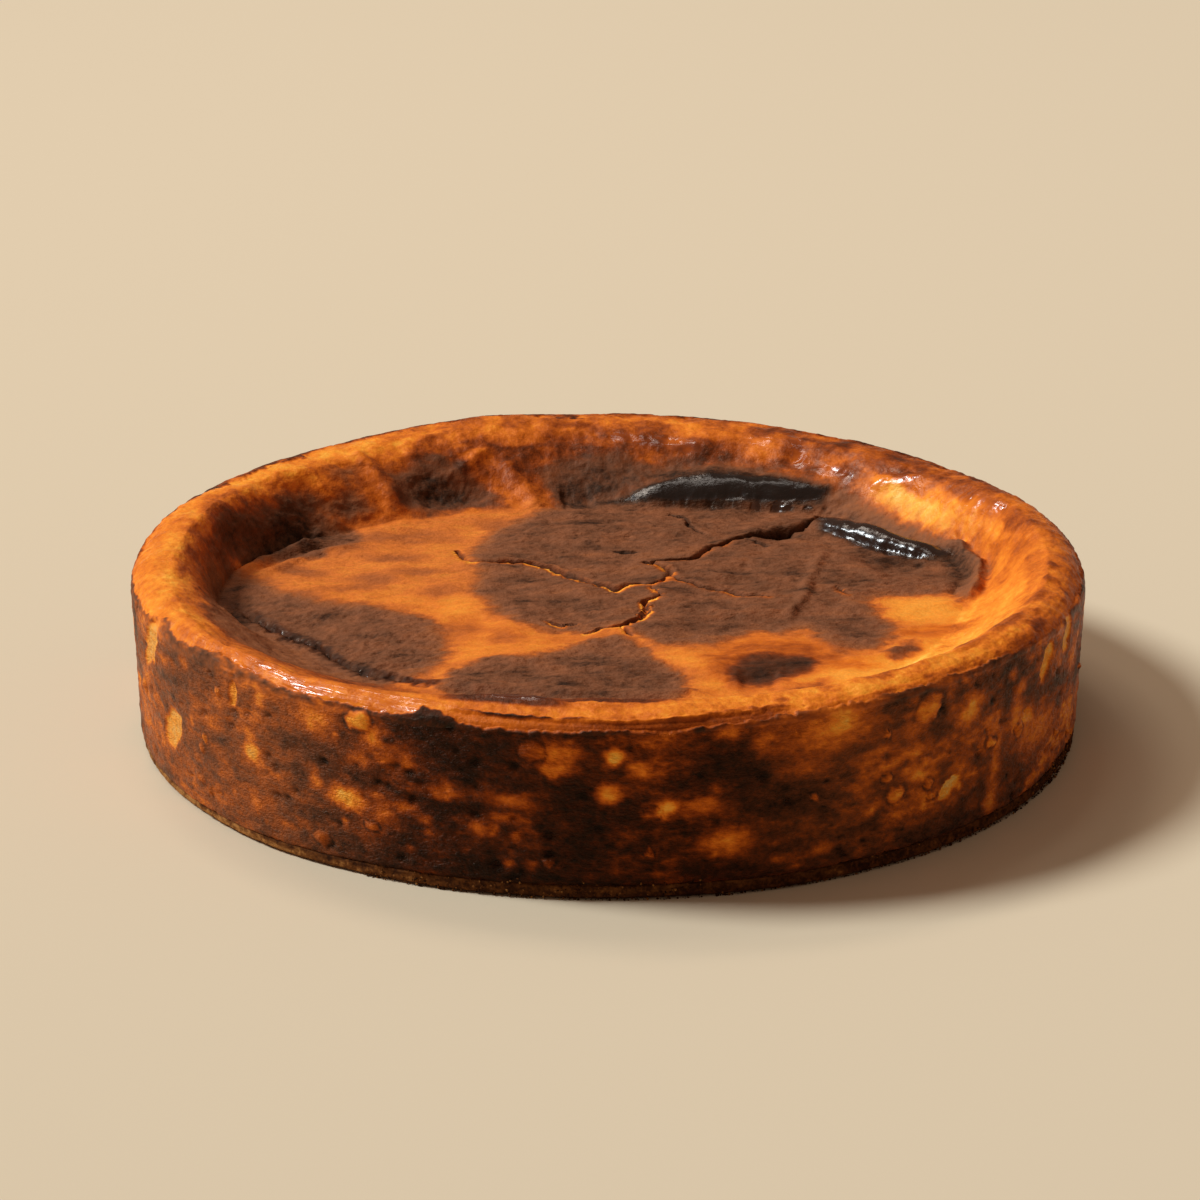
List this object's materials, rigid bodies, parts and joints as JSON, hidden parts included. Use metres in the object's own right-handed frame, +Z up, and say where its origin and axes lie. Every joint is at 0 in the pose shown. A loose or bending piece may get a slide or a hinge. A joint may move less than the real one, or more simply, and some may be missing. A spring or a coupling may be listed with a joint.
{
  "type": "cheesecake",
  "caption": "Whole round burnt-top baked cheesecake with a raised rim, a sunken cracked top and a thin biscuit-crumb base.",
  "frame": {"origin": "centre of the cake's outline on the flat underside of the crumb base", "axes": "+Z up through the cake, -Y towards the side that the picture shows in front, +X to its right"},
  "size_m": [0.26, 0.2602, 0.0511],
  "materials": {
    "baked_filling": "baked cheese custard, browned to black on top and round the side, satin to wet-looking on the rim",
    "crumb_base": "rough pressed biscuit crumb, baked brown"
  },
  "bodies": {
    "root": {"baked_filling": "baked_filling", "crumb_base": "crumb_base"}
  },
  "joints": []
}
